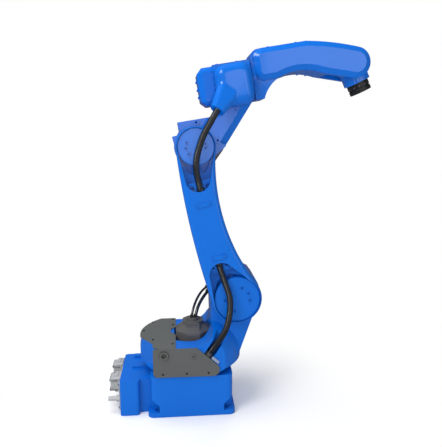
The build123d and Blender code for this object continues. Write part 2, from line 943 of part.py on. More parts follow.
# Elbow casting: a hub on the elbow axis, an arm up to the box of the roll axis and a bevelled flank
flank_reach = Vector(
    elbow_lobe_s - roll_box_end, elbow_lobe_rise - elbow_offset + roll_box_height / 2
)
flank_angle = atan2(flank_reach.Y, flank_reach.X) + asin(elbow_lobe_radius / flank_reach.length)
flank_way = roll_along * cos(flank_angle) + roll_up * sin(flank_angle)
flank_corner = forearm_point(roll_box_end, -roll_box_height / 2, -elbow_half_width)
with BuildPart() as elbow_casting:
    with BuildSketch(forearm_plane(elbow_half_width)):
        with Locations((0, -elbow_offset)):
            Circle(elbow_hub_radius)
        with Locations((elbow_lobe_s, elbow_lobe_rise - elbow_offset)):
            Circle(elbow_lobe_radius)
        with Locations((roll_box_start, 0)):
            Rectangle(
                roll_box_end - roll_box_start,
                roll_box_height,
                align=(Align.MIN, Align.CENTER),
            )
        make_hull()
        with BuildLine():
            Polyline(
                (-elbow_hub_radius - cut_overrun, -elbow_shoulder_drop),
                (elbow_shoulder_front, -elbow_shoulder_drop),
                (roll_box_start, -roll_box_height / 2),
                (roll_box_start, elbow_offset),
                (-elbow_hub_radius - cut_overrun, elbow_offset),
                close=True,
            )
        make_face(mode=Mode.SUBTRACT)
        with Locations((roll_box_start, 0)):
            Rectangle(
                roll_box_end - roll_box_start,
                roll_box_height,
                align=(Align.MIN, Align.CENTER),
            )
        with Locations((-elbow_shoulder_back, -elbow_shoulder_drop)):
            Rectangle(
                elbow_shoulder_back + elbow_shoulder_front,
                elbow_offset - elbow_shoulder_drop,
                align=(Align.MIN, Align.MAX),
            )
    extrude(amount=2 * elbow_half_width)
    with BuildSketch(Plane(origin=flank_corner, x_dir=(0, 1, 0), z_dir=flank_way)):
        with BuildLine():
            Polyline(
                (elbow_bevel + cut_overrun, cut_overrun),
                (-cut_overrun, cut_overrun),
                (-cut_overrun, -elbow_bevel - cut_overrun),
                close=True,
            )
        make_face()
    extrude(amount=flank_reach.length, mode=Mode.SUBTRACT)
    with BuildSketch(roll_section(roll_box_start)):
        RectangleRounded(roll_box_width, roll_box_height, roll_box_corner)
    extrude(amount=roll_box_end - roll_box_start)
    with BuildSketch(forearm_plane(-elbow_half_width)):
        with Locations((0, -elbow_offset)):
            for boss_angle in elbow_boss_angles:
                with PolarLocations(elbow_boss_circle, 1, start_angle=boss_angle):
                    Circle(elbow_boss_radius)
                    Circle(elbow_boss_hole_radius, mode=Mode.SUBTRACT)
    extrude(amount=elbow_boss_height)
keep(elbow_casting, "elbow_casting")

with BuildPart() as elbow_motor:
    side_motor(
        elbow_half_width,
        forearm_point(elbow_motor_s, -elbow_offset - elbow_motor_drop, elbow_half_width),
        forearm_tilt + elbow_motor_turn,
        elbow_flange_size,
        elbow_motor_radius,
        elbow_motor_length,
        elbow_cap_radius,
        elbow_cap_length,
    )
keep(elbow_motor, "elbow_motor")

with BuildPart() as roll_rear_cap:
    with BuildSketch(roll_section(roll_cap_start)):
        RectangleRounded(roll_cap_width, roll_cap_height, roll_cap_corner)
    extrude(amount=roll_box_start - roll_cap_start)
    chamfer(roll_rear_cap.faces().sort_by(Axis(roll_start, roll_along))[0].edges(), roll_cap_chamfer)
keep(roll_rear_cap, "roll_rear_cap")

# Rounded cover on the near side of the roll box, with a tapered neck for the conduit
with BuildPart() as roll_cover:
    with BuildSketch(forearm_plane(roll_cover_seat)):
        with Locations(((roll_cover_start + roll_cover_end) / 2, (roll_cover_top + roll_cover_bottom) / 2)):
            RectangleRounded(
                roll_cover_end - roll_cover_start,
                roll_cover_top - roll_cover_bottom,
                roll_cover_corner,
            )
    extrude(amount=roll_cover_depth)
    fillet(roll_cover.faces().sort_by(Axis.Y)[0].edges(), roll_cover_round)
    with BuildSketch(Plane(origin=neck_root, x_dir=neck_side, z_dir=neck_way)):
        RectangleRounded(neck_root_width, neck_root_thickness, neck_root_corner)
    with BuildSketch(Plane(origin=neck_mouth, x_dir=neck_side, z_dir=neck_way)):
        RectangleRounded(neck_width, neck_depth, neck_corner)
    loft()
    neck_joint = roll_cover.edges(Select.NEW).filter_by(lambda edge: edge.center().Y < roll_cover_seat)
    fillet(neck_joint, neck_fillet)
    split(bisect_by=forearm_plane(roll_cover_seat), keep=Keep.TOP)
    with BuildSketch(Plane(origin=neck_mouth, z_dir=neck_way)):
        Circle(conduit_radius + fit_gap)
    extrude(amount=-neck_bore_depth, mode=Mode.SUBTRACT)
keep(roll_cover, "roll_cover")

with BuildPart() as roll_bearing:
    with BuildSketch(roll_section(roll_box_end)):
        Circle(roll_bearing_radius)
    extrude(amount=roll_flange_start - roll_box_end)
keep(roll_bearing, "roll_bearing")


# Forearm: a round flange, an arched body that ends in a fork, and a bevelled cover on each side
def polar(radius, angle):
    """A point on a circle about the wrist axis, in the forearm's side plane."""
    return (forearm_span + radius * cos(radians(angle)), radius * sin(radians(angle)))


def reach(share):
    """The place along the roll axis at a share of the way from the flange to the wrist axis."""
    return roll_flange_start + share * (forearm_span - roll_flange_start)


def forearm_outline(rear):
    """The forearm's side outline from its rear end, with rounded rear corners."""
    top_end = polar(forearm_end_radius, forearm_end_top_angle)
    bottom_end = polar(forearm_end_radius, forearm_end_bottom_angle)
    belly_end = (reach(forearm_belly_share), forearm_belly)
    arch_end = (reach(forearm_arch_end_share), forearm_arch_end_t)
    crest_end = (reach(forearm_crest_share), forearm_crest)
    with BuildLine() as edge:
        FilletPolyline(
            belly_end,
            (rear, forearm_belly),
            (rear, forearm_crest),
            crest_end,
            radius=forearm_rear_corner,
        )
        ThreePointArc(crest_end, (reach(forearm_bend_share), forearm_bend_t), top_end)
        ThreePointArc(top_end, polar(forearm_end_radius, 0), bottom_end)
        Line(bottom_end, arch_end)
        ThreePointArc(arch_end, (reach(forearm_arch_share), forearm_arch_t), belly_end)
    make_face(edge.edges())


with BuildPart() as forearm_casting:
    with BuildSketch(forearm_plane(forearm_half_width)):
        forearm_outline(roll_flange_start)
        with BuildLine():
            Polyline(
                (reach(forearm_throat_share), 0),
                (reach(forearm_throat_share), forearm_rear_corner),
                (roll_flange_start, forearm_rear_corner),
                (roll_flange_start, -roll_flange_radius),
                (roll_flange_start + roll_flange_length, -roll_flange_radius),
            )
            ThreePointArc(
                (roll_flange_start + roll_flange_length, -roll_flange_radius),
                (forearm_throat_s, forearm_throat_t),
                (reach(forearm_throat_share), 0),
            )
        make_face()
    extrude(amount=2 * forearm_half_width)
    with BuildSketch(roll_section(roll_flange_start)):
        Circle(roll_flange_radius)
    extrude(amount=roll_flange_rim)
    with BuildSketch(forearm_plane(fork_half_width)):
        with Locations((reach(fork_share), 0)):
            Rectangle(forearm_span, 2 * forearm_span, align=(Align.MIN, Align.CENTER))
    extrude(amount=2 * fork_half_width, mode=Mode.SUBTRACT)
keep(forearm_casting, "forearm_casting")

for cover_side, cover_name in ((-1, "near_forearm_cover"), (1, "far_forearm_cover")):
    with BuildPart() as forearm_cover:
        with BuildSketch(forearm_plane(cover_side * forearm_half_width)):
            forearm_outline(roll_flange_start + roll_flange_rim + fit_gap)
        extrude(amount=-cover_side * forearm_cover_thickness)
        outer_face = forearm_cover.faces().sort_by(Axis.Y)[0 if cover_side < 0 else -1]
        chamfer(outer_face.edges(), forearm_cover_bevel_depth, forearm_cover_bevel)
    keep(forearm_cover, cover_name)

# Hand between the tines of the fork, and the tool flange
hand_half_width = fork_half_width - running_gap
with BuildPart() as hand_casting:
    with BuildSketch(forearm_plane(hand_half_width)):
        with Locations((forearm_span, 0)):
            Circle(hand_hub_radius)
    extrude(amount=2 * hand_half_width)
    with BuildSketch(forearm_plane(fork_half_width)):
        with Locations((forearm_span, 0)):
            Circle(trunnion_radius)
    extrude(amount=2 * fork_half_width)
    with BuildSketch(hand_section(0)):
        RectangleRounded(2 * hand_half_width, 2 * hand_radius, hand_corner)
    extrude(amount=hand_length)
keep(hand_casting, "hand_casting")

with BuildPart() as hand_collar:
    with BuildSketch(hand_section(hand_length)):
        Circle(hand_collar_radius)
    extrude(amount=hand_collar_length)
keep(hand_collar, "hand_collar")

flange_start = hand_length + hand_collar_length
with BuildPart() as tool_flange:
    with BuildSketch(hand_section(flange_start)):
        Circle(flange_neck_radius)
    extrude(amount=flange_neck_length)
    with BuildSketch(hand_section(flange_start + flange_neck_length)):
        Circle(flange_radius)
    extrude(amount=flange_length)
    with BuildSketch(hand_section(flange_start + flange_neck_length + flange_length)):
        Circle(flange_pilot_radius)
    extrude(amount=-flange_pilot_depth, mode=Mode.SUBTRACT)
    with BuildSketch(hand_section(flange_start + flange_neck_length)):
        with PolarLocations(flange_pcd / 2, flange_bolt_count, start_angle=180 / flange_bolt_count):
            Circle(flange_bolt_radius)
    extrude(amount=flange_length, mode=Mode.SUBTRACT)
keep(tool_flange, "tool_flange")

# Conduits: from the turret's groove to the lower arm, and from there to the roll cover
lead(lower_conduit_route, conduit_radius, "lower_conduit")
lead(upper_conduit_route, conduit_radius, "upper_conduit")

bracket_seat = Plane(origin=lower_conduit_route[0], x_dir=(0, 1, 0), z_dir=bracket_way)
with BuildPart() as conduit_bracket:
    with BuildSketch(bracket_seat):
        Rectangle(bracket_depth, 2 * (conduit_radius + groove_margin - fit_gap))
    extrude(amount=-bracket_length)
keep(conduit_bracket, "conduit_bracket")

with BuildPart() as conduit_guard:
    with BuildSketch(side_plane(-turret_half_width)):
        with Locations((bracket_seat.origin.X + guard_shift, bracket_seat.origin.Z - guard_drop)):
            RectangleRounded(guard_length, guard_width, guard_width / 4, rotation=guard_slope)
    extrude(amount=guard_thickness)
keep(conduit_guard, "conduit_guard")
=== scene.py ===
# %% [markdown]
# A six-axis robot arm, dressed for a studio picture.
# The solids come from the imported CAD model, which stays as it is. This script gives them their
# finishes, adds the small parts that a solid model leaves out, and sets the light and the camera.

# %% Load the CAD frame
import json
from math import cos, pi, radians, sin

import bmesh
import bpy
from mathutils import Matrix, Vector


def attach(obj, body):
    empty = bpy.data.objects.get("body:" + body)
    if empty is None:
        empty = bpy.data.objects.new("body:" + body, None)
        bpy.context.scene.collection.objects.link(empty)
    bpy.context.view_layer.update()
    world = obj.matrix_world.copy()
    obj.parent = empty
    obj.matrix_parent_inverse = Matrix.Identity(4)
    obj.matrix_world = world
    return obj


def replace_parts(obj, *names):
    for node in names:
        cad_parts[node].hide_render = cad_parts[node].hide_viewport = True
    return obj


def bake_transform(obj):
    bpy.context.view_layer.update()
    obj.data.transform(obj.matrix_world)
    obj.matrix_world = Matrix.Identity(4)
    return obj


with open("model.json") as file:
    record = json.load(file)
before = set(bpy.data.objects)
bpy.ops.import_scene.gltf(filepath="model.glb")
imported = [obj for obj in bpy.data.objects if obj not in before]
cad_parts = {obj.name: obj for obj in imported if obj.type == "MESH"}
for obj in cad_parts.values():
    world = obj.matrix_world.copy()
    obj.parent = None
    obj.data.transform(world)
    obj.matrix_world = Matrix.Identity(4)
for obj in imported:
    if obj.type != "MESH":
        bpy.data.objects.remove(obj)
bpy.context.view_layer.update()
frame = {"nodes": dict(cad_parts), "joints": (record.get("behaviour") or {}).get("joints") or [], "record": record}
nodes = frame["nodes"]
scene = bpy.context.scene
scene.view_settings.view_transform = "Standard"

# %% [markdown]
# The small parts are placed in the directions of the arm itself: up and across the lower arm, and
# along and above the axis on which the forearm rolls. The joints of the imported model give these
# directions, so that nothing has to be measured again. Distances are typed in millimetres.

# %% Places on the arm
millimetre = 0.001
joints = {joint["name"]: joint for joint in frame["joints"]}
shoulder = Vector(joints["shoulder"]["pos_m"])
elbow = Vector(joints["elbow"]["pos_m"])
roll_start = Vector(joints["forearm_roll"]["pos_m"])
roll_along = Vector(joints["forearm_roll"]["axis"])
hand_along = Vector(joints["flange_turn"]["axis"])
upward = Vector((0, 0, 1))
forward = Vector((1, 0, 0))
away = Vector((0, 1, 0))
near = -away
arm_along = (elbow - shoulder).normalized()
arm_across = away.cross(arm_along)
roll_up = roll_along.cross(away)


def on_robot(x, y, z):
    """A point of the robot's frame, from millimetres."""
    return Vector((x, y, z)) * millimetre


def on_arm(u, v, y):
    """A point of the lower arm: u across it and v along it, from the shoulder's axis."""
    return shoulder + (arm_across * u + arm_along * v + away * y) * millimetre


def on_forearm(s, t, y):
    """A point of the upper arm: s along the roll axis and t above it."""
    return roll_start + (roll_along * s + roll_up * t + away * y) * millimetre


print("arm length", round((elbow - shoulder).length, 3), "m")

# %% [markdown]
# The camera stands where the photographer's did. Its place, turn and focal length were worked out
# from straight edges of the arm, so that the render can be laid over the picture.

# %% Camera
camera_place = Vector((-0.0492, -1.9445, 1.0739))
camera_yaw = radians(5.2)
camera_pitch = radians(-9.7)
picture_height = 447
focal_length_pixels = 494
sensor_millimetres = 36
nearest_view = 0.05
furthest_view = 60

camera_data = bpy.data.cameras.new("studio_camera")
camera_data.sensor_width = sensor_millimetres
camera_data.lens = focal_length_pixels / picture_height * sensor_millimetres
camera_data.clip_start = nearest_view
camera_data.clip_end = furthest_view
camera = bpy.data.objects.new("studio_camera", camera_data)
scene.collection.objects.link(camera)
look = Vector(
    (sin(camera_yaw) * cos(camera_pitch), cos(camera_yaw) * cos(camera_pitch), sin(camera_pitch))
)
camera.location = camera_place
camera.rotation_euler = look.to_track_quat("-Z", "Y").to_euler()
scene.camera = camera
print("lens", round(camera_data.lens, 2), "mm")

# %% [markdown]
# Soft light: a broad lamp high on the left, a weaker one on the right and a pale world, so that
# faces which look left and up are lighter than those which look right, as in the picture. The
# panes of a window behind the camera show as pale glints on the flat panels of the forearm, the
# rounded cover and the elbow, and no pane is low enough to show in the faces below. The camera sees
# the world as plain white, while the arm gets only its soft light, and a dimmer one in reflections.

# %% Lamps and world


def area_lamp(name, place, target, size, power):
    """A lamp with a width and a height that points at a target."""
    data = bpy.data.lights.new(name, "AREA")
    data.shape = "RECTANGLE"
    data.size, data.size_y = size
    data.energy = power
    lamp = bpy.data.objects.new(name, data)
    lamp.location = place
    lamp.rotation_euler = (Vector(target) - Vector(place)).to_track_quat("-Z", "Y").to_euler()
    scene.collection.objects.link(lamp)
    return lamp


arm_middle = (0.1, 0.0, 0.8)
key_size = (1.6, 1.6)
soft_size = (2.0, 2.0)
area_lamp("key_lamp", (-2.4, -2.4, 3.0), arm_middle, key_size, 76)
area_lamp("fill_lamp", (2.6, -2.6, 1.2), arm_middle, soft_size, 9)
for name, place, power in (
    ("back_lamp", (0.6, 3.0, 2.6), 40),
    ("top_lamp", (-0.7, -0.2, 3.4), 54),
    ("front_lamp", (-0.3, -3.4, 1.5), 13),
):
    matt_lamp = area_lamp(name, place, arm_middle, soft_size, power)
    matt_lamp.visible_glossy = False
window_depth = -2.6
window_glow = 7.0
for name, left, right, bottom, top in (
    ("forearm_pane", 0.70, 1.70, 1.56, 2.10),
    ("cover_pane", 0.36, 0.56, 1.47, 2.10),
    ("elbow_pane", -0.10, 0.50, 0.85, 1.36),
):
    pane = Vector(((left + right) / 2, window_depth, (bottom + top) / 2))
    pane_power = window_glow * (right - left) * (top - bottom)
    area_lamp(name, pane, pane + away, (right - left, top - bottom), pane_power)

sky_tint = (0.93, 0.96, 1.0, 1)
sky_strength = 0.45
sky_reflected = 0.10
world = bpy.data.worlds.new("studio_world")
scene.world = world
world.use_nodes = True
sky = world.node_tree
sky.nodes.clear()
sky_out = sky.nodes.new("ShaderNodeOutputWorld")
sky_mix = sky.nodes.new("ShaderNodeMixShader")
sky_light = sky.nodes.new("ShaderNodeBackground")
sky_light.inputs["Color"].default_value = sky_tint
sky_level = sky.nodes.new("ShaderNodeMapRange")
sky_level.inputs["To Min"].default_value = sky_strength
sky_level.inputs["To Max"].default_value = sky_reflected
sky_white = sky.nodes.new("ShaderNodeBackground")
sky_path = sky.nodes.new("ShaderNodeLightPath")
sky_white.inputs["Color"].default_value = (1, 1, 1, 1)
sky.links.new(sky_path.outputs["Is Glossy Ray"], sky_level.inputs["Value"])
sky.links.new(sky_level.outputs["Result"], sky_light.inputs["Strength"])
sky.links.new(sky_path.outputs["Is Camera Ray"], sky_mix.inputs["Fac"])
sky.links.new(sky_light.outputs[0], sky_mix.inputs[1])
sky.links.new(sky_white.outputs[0], sky_mix.inputs[2])
sky.links.new(sky_mix.outputs[0], sky_out.inputs["Surface"])

# %% [markdown]
# The floor takes the arm's shadow close to the foot and fades to the white of the background
# further out, so that no horizon shows.

# %% Floor
floor_reach = 14
fade_start = 0.25
fade_end = 0.80
floor_colour = (0.93, 0.93, 0.94, 1)
floor_roughness = 0.85
floor_gloss = 0.1
floor_mesh = bpy.data.meshes.new("floor")
floor_mesh.from_pydata(
    [
        (-floor_reach, -floor_reach, 0),
        (floor_reach, -floor_reach, 0),
        (floor_reach, floor_reach, 0),
        (-floor_reach, floor_reach, 0),
    ],
    [],
    [(0, 1, 2, 3)],
)
floor = bpy.data.objects.new("floor", floor_mesh)
scene.collection.objects.link(floor)
floor_paint = bpy.data.materials.new("floor_paint")
floor_paint.use_nodes = True
floor_tree = floor_paint.node_tree
floor_shader = floor_tree.nodes["Principled BSDF"]
floor_shader.inputs["Base Color"].default_value = floor_colour
floor_shader.inputs["Roughness"].default_value = floor_roughness
floor_shader.inputs["Specular IOR Level"].default_value = floor_gloss
floor_white = floor_tree.nodes.new("ShaderNodeEmission")
floor_place = floor_tree.nodes.new("ShaderNodeTexCoord")
floor_distance = floor_tree.nodes.new("ShaderNodeVectorMath")
floor_distance.operation = "LENGTH"
floor_fade = floor_tree.nodes.new("ShaderNodeMapRange")
floor_fade.interpolation_type = "SMOOTHSTEP"
floor_fade.inputs["From Min"].default_value = fade_start
floor_fade.inputs["From Max"].default_value = fade_end
floor_path = floor_tree.nodes.new("ShaderNodeLightPath")
floor_seen = floor_tree.nodes.new("ShaderNodeMath")
floor_seen.operation = "MULTIPLY"
floor_mix = floor_tree.nodes.new("ShaderNodeMixShader")
floor_tree.links.new(floor_place.outputs["Object"], floor_distance.inputs[0])
floor_tree.links.new(floor_distance.outputs["Value"], floor_fade.inputs["Value"])
floor_tree.links.new(floor_fade.outputs["Result"], floor_seen.inputs[0])
floor_tree.links.new(floor_path.outputs["Is Camera Ray"], floor_seen.inputs[1])
floor_tree.links.new(floor_seen.outputs[0], floor_mix.inputs["Fac"])
floor_tree.links.new(floor_shader.outputs[0], floor_mix.inputs[1])
floor_tree.links.new(floor_white.outputs[0], floor_mix.inputs[2])
floor_tree.links.new(
    floor_mix.outputs[0], floor_tree.nodes["Material Output"].inputs["Surface"]
)
floor.data.materials.append(floor_paint)
floor.visible_glossy = False

# %% [markdown]
# One recipe makes all the painted and metal finishes. Broad mottling keeps a colour from looking
# flat, a fine grain stands for the orange peel of paint or the skin of a casting, and the Bevel
# node rounds the look of sharp edges, which on castings always carry a small radius. The screws
# sunk in the painted bosses get a darker blue: painted shade for the shadow deep in their sockets.

# %% Finishes
coat_roughness = 0.12
patch_scale = 7
patch_detail = 3
skin_detail = 2
shine_spread = 0.12
edge_samples = 6


def finish(
    name,
    colour,
    roughness,
    metal=0.0,
    gloss=0.5,
    coat=0.0,
    mottle=0.06,
    grain=(900, 0.04),
    edge=0.0,
):
    """A procedural finish: mottled colour, clear coat, grain as bump and softened edges."""
    material = bpy.data.materials.new(name)
    material.use_nodes = True
    tree = material.node_tree
    shader = tree.nodes["Principled BSDF"]
    shader.inputs["Metallic"].default_value = metal
    shader.inputs["Specular IOR Level"].default_value = gloss
    shader.inputs["Coat Weight"].default_value = coat
    shader.inputs["Coat Roughness"].default_value = coat_roughness
    place = tree.nodes.new("ShaderNodeTexCoord")
    patches = tree.nodes.new("ShaderNodeTexNoise")
    patches.inputs["Scale"].default_value = patch_scale
    patches.inputs["Detail"].default_value = patch_detail
    shade = tree.nodes.new("ShaderNodeMix")
    shade.data_type = "RGBA"
    shade.inputs["A"].default_value = (*[c * (1 - mottle) for c in colour], 1)
    shade.inputs["B"].default_value = (*[min(1, c * (1 + mottle)) for c in colour], 1)
    shine = tree.nodes.new("ShaderNodeMapRange")
    shine.inputs["To Min"].default_value = roughness * (1 - shine_spread)
    shine.inputs["To Max"].default_value = roughness * (1 + shine_spread)
    skin = tree.nodes.new("ShaderNodeTexNoise")
    skin.inputs["Scale"].default_value = grain[0]
    skin.inputs["Detail"].default_value = skin_detail
    bump = tree.nodes.new("ShaderNodeBump")
    bump.inputs["Strength"].default_value = grain[1]
    bump.inputs["Distance"].default_value = millimetre
    tree.links.new(place.outputs["Object"], patches.inputs["Vector"])
    tree.links.new(place.outputs["Object"], skin.inputs["Vector"])
    tree.links.new(patches.outputs["Fac"], shade.inputs["Factor"])
    tree.links.new(patches.outputs["Fac"], shine.inputs["Value"])
    tree.links.new(shade.outputs["Result"], shader.inputs["Base Color"])
    tree.links.new(shine.outputs["Result"], shader.inputs["Roughness"])
    tree.links.new(skin.outputs["Fac"], bump.inputs["Height"])
    if edge:
        soften = tree.nodes.new("ShaderNodeBevel")
        soften.samples = edge_samples
        soften.inputs["Radius"].default_value = edge * millimetre
        tree.links.new(soften.outputs["Normal"], bump.inputs["Normal"])
    tree.links.new(bump.outputs["Normal"], shader.inputs["Normal"])
    return material


finishes = {
    name: finish(name, colour, roughness, **more)
    for name, colour, roughness, more in (
        (
            "blue_paint",
            (0.002, 0.135, 0.60),
            0.40,
            {"gloss": 0.10, "coat": 0.8, "mottle": 0.05, "grain": (420, 0.03), "edge": 2.5},
        ),
        # painted shade: a darker blue for the screws sunk in the bosses, standing for the shadow in their sockets
        ("painted_shade_blue", (0.002, 0.050, 0.32), 0.40, {"gloss": 0.10, "mottle": 0.05}),
        (
            "cover_grey",
            (0.100, 0.106, 0.102),
            0.48,
            {"gloss": 0.35, "grain": (1600, 0.12), "edge": 1},
        ),
        (
            "motor_black",
            (0.094, 0.092, 0.092),
            0.42,
            {"gloss": 0.35, "grain": (900, 0.10), "edge": 2},
        ),
        (
            "flange_dark",
            (0.035, 0.035, 0.035),
            0.32,
            {"metal": 0.6, "grain": (1500, 0.06), "edge": 1},
        ),
        (
            "conduit_rubber",
            (0.011, 0.0115, 0.0125),
            0.30,
            {"gloss": 1.0, "grain": (1200, 0.03), "mottle": 0.15},
        ),
        (
            "connector_metal",
            (0.50, 0.51, 0.52),
            0.45,
            {"metal": 0.25, "grain": (800, 0.14), "mottle": 0.1, "edge": 2},
        ),
        (
            "bearing_steel",
            (0.42, 0.42, 0.43),
            0.33,
            {"metal": 0.9, "grain": (2000, 0.05), "edge": 0.8},
        ),
        (
            "bracket_zinc",
            (0.40, 0.47, 0.62),
            0.40,
            {"metal": 0.4, "grain": (1300, 0.08), "mottle": 0.1, "edge": 0.8},
        ),
    )
}
for part in frame["record"]["subparts"]:
    piece = nodes[part["node"]]
    piece.data.materials.clear()
    piece.data.materials.append(finishes[part["material_slot"]])
print("finishes", sorted(finishes))

# %% [markdown]
# Each piece added from here on rides on one body of the arm, except the two conduits. A new mesh
# becomes an object at the origin, with its place in its mesh, and takes one of the finishes above.

# %% Add a piece


def add_piece(name, mesh, body, slot, shade=None):
    """Put a finished mesh on a body; the shade is a finish to use in place of the slot's own."""
    mesh.materials.clear()
    mesh.materials.append(finishes[shade or slot])
    piece = bpy.data.objects.new(name, mesh)
    scene.collection.objects.link(piece)
    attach(piece, body)
    print(name, "on", body, len(mesh.polygons), "faces")
    return piece

# %% [markdown]
# Screws. A socket-head cap screw is drawn once, one unit in radius and height. A Geometry Nodes
# tree then puts one on each point of a mesh, turns it to the direction kept with the point, gives
# it the size kept with the point and twists each by a chance angle from a fixed seed.

# %% The screw head
head_sides = 24
socket_sides = 6
head_profile = ((1.0, 0.0), (1.0, 0.80), (0.97, 0.92), (0.88, 1.0))
socket_radius = 0.50
socket_floor = 0.35


def socket_reach(turn):
    """Radius of a hexagon at an angle, for a socket with flat sides."""
    wedge = 2 * pi / socket_sides
    return socket_radius * cos(wedge / 2) / cos(turn % wedge - wedge / 2)


head_shape = bmesh.new()
rings = []
turns = [2 * pi * i / head_sides for i in range(head_sides)]
for radius, height in head_profile:
    rings.append([head_shape.verts.new((radius * cos(a), radius * sin(a), height)) for a in turns])
for height in (1.0, socket_floor):
    rings.append(
        [
            head_shape.verts.new((socket_reach(a) * cos(a), socket_reach(a) * sin(a), height))
            for a in turns
        ]
    )
for lower, upper in zip(rings, rings[1:]):
    for i in range(head_sides):
        j = (i + 1) % head_sides
        head_shape.faces.new((lower[i], lower[j], upper[j], upper[i]))
head_shape.faces.new(rings[-1])
head_mesh = bpy.data.meshes.new("screw_head")
head_shape.to_mesh(head_mesh)
head_shape.free()
screw_head = bpy.data.objects.new("screw_head", head_mesh)
print("screw head", len(head_mesh.polygons), "faces")

# %% The tree that sets screws on points
screw_tree = bpy.data.node_groups.new("screws_on_points", "GeometryNodeTree")
screw_tree.interface.new_socket("Points", in_out="INPUT", socket_type="NodeSocketGeometry")
head_input = screw_tree.interface.new_socket(
    "Head", in_out="INPUT", socket_type="NodeSocketObject"
)
finish_input = screw_tree.interface.new_socket(
    "Finish", in_out="INPUT", socket_type="NodeSocketMaterial"
)
seed_input = screw_tree.interface.new_socket("Seed", in_out="INPUT", socket_type="NodeSocketInt")
screw_tree.interface.new_socket("Screws", in_out="OUTPUT", socket_type="NodeSocketGeometry")
group_in = screw_tree.nodes.new("NodeGroupInput")
group_out = screw_tree.nodes.new("NodeGroupOutput")
way_value = screw_tree.nodes.new("GeometryNodeInputNamedAttribute")
way_value.data_type = "FLOAT_VECTOR"
way_value.inputs["Name"].default_value = "way"
size_value = screw_tree.nodes.new("GeometryNodeInputNamedAttribute")
size_value.data_type = "FLOAT_VECTOR"
size_value.inputs["Name"].default_value = "size"
head_info = screw_tree.nodes.new("GeometryNodeObjectInfo")
align = screw_tree.nodes.new("FunctionNodeAlignRotationToVector")
align.axis = "Z"
chance = screw_tree.nodes.new("FunctionNodeRandomValue")
chance.data_type = "FLOAT"
chance.inputs["Max"].default_value = 2 * pi
twist = screw_tree.nodes.new("FunctionNodeAxisAngleToRotation")
turn_on = screw_tree.nodes.new("FunctionNodeRotateRotation")
turn_on.rotation_space = "LOCAL"
place_heads = screw_tree.nodes.new("GeometryNodeInstanceOnPoints")
realize = screw_tree.nodes.new("GeometryNodeRealizeInstances")
dress = screw_tree.nodes.new("GeometryNodeSetMaterial")

# %% Wires of the screw tree
wire = screw_tree.links.new
chance_float = [s for s in chance.outputs if s.enabled][0]
wire(group_in.outputs["Points"], place_heads.inputs["Points"])
wire(group_in.outputs["Head"], head_info.inputs["Object"])
wire(head_info.outputs["Geometry"], place_heads.inputs["Instance"])
wire(way_value.outputs["Attribute"], align.inputs["Vector"])
wire(group_in.outputs["Seed"], chance.inputs["Seed"])
wire(chance_float, twist.inputs["Angle"])
wire(align.outputs["Rotation"], turn_on.inputs["Rotation"])
wire(twist.outputs["Rotation"], turn_on.inputs["Rotate By"])
wire(turn_on.outputs["Rotation"], place_heads.inputs["Rotation"])
wire(size_value.outputs["Attribute"], place_heads.inputs["Scale"])
wire(place_heads.outputs["Instances"], realize.inputs["Geometry"])
wire(realize.outputs["Geometry"], dress.inputs["Geometry"])
wire(group_in.outputs["Finish"], dress.inputs["Material"])
wire(dress.outputs["Geometry"], group_out.inputs["Screws"])


def plain_mesh(carrier, name):
    """The mesh that an object shows with its modifiers; the object itself is removed."""
    bpy.context.view_layer.update()
    shown = carrier.evaluated_get(bpy.context.evaluated_depsgraph_get())
    mesh = bpy.data.meshes.new_from_object(shown)
    mesh.name = name
    bpy.data.objects.remove(carrier)
    return mesh


chance_seed = 7


def add_screws(name, body, slot, seats, shade=None):
    """Screws on a body; a seat is a point, the direction that the head faces, radius and height."""
    cloud = bpy.data.meshes.new(name + "_seats")
    cloud.from_pydata([place for place, way, radius, height in seats], [], [])
    ways = cloud.attributes.new("way", "FLOAT_VECTOR", "POINT")
    sizes = cloud.attributes.new("size", "FLOAT_VECTOR", "POINT")
    for i, (place, way, radius, height) in enumerate(seats):
        ways.data[i].vector = way
        sizes.data[i].vector = Vector((radius, radius, height)) * millimetre
    carrier = bpy.data.objects.new(name + "_seats", cloud)
    scene.collection.objects.link(carrier)
    modifier = carrier.modifiers.new("screws", "NODES")
    modifier.node_group = screw_tree
    modifier[head_input.identifier] = screw_head
    modifier[finish_input.identifier] = finishes[shade or slot]
    modifier[seed_input.identifier] = chance_seed
    return add_piece(name, plain_mesh(carrier, name), body, slot, shade)

# %% [markdown]
# Where the screws sit: on the grey covers and the cap of the swivel motor, on the two pads and the
# clamps of the lower arm, in the bosses of its two discs and of the elbow, on the rear cap, the
# cover and the motor of the elbow, on the forearm and the collar of the hand, and on the panel and
# the connectors behind the base. A pair of numbers such as deck_screw is a head's radius and its
# height.

# %% Screws of the turret
deck_cover_top = 288
deck_screw = (4, 2.5)
side_screw = (3.6, 2)
motor_cap_screw = (3, 2.5)
shoulder_flange_screw = (7, 7)
deck_screws = ((-192, 25), (-158, 120), (-72, 146), (-72, 84), (-72, -120), (-150, -72))
side_cover_face = -164
side_screws = ((-110, 184), (-19, 184), (65, 184))
motor_cap_top = 343
motor_cap_middle_x = 11
motor_cap_reach = 34
motor_cap_turns = (45, 135, 225, 315)
shoulder_flange_face = 94
shoulder_flange_reach = 60
cover_seats = [(on_robot(x, y, deck_cover_top), upward, *deck_screw) for x, y in deck_screws]
cover_seats += [(on_robot(x, side_cover_face, z), near, *side_screw) for x, z in side_screws]
add_screws("cover_screws", "turret", "flange_dark", cover_seats)
cap_seats = []
for turn in motor_cap_turns:
    x = motor_cap_middle_x + motor_cap_reach * cos(radians(turn))
    y = motor_cap_reach * sin(radians(turn))
    cap_seats.append((on_robot(x, y, motor_cap_top), upward, *motor_cap_screw))
add_screws("motor_cap_screws", "turret", "motor_black", cap_seats)
motor_seats = []
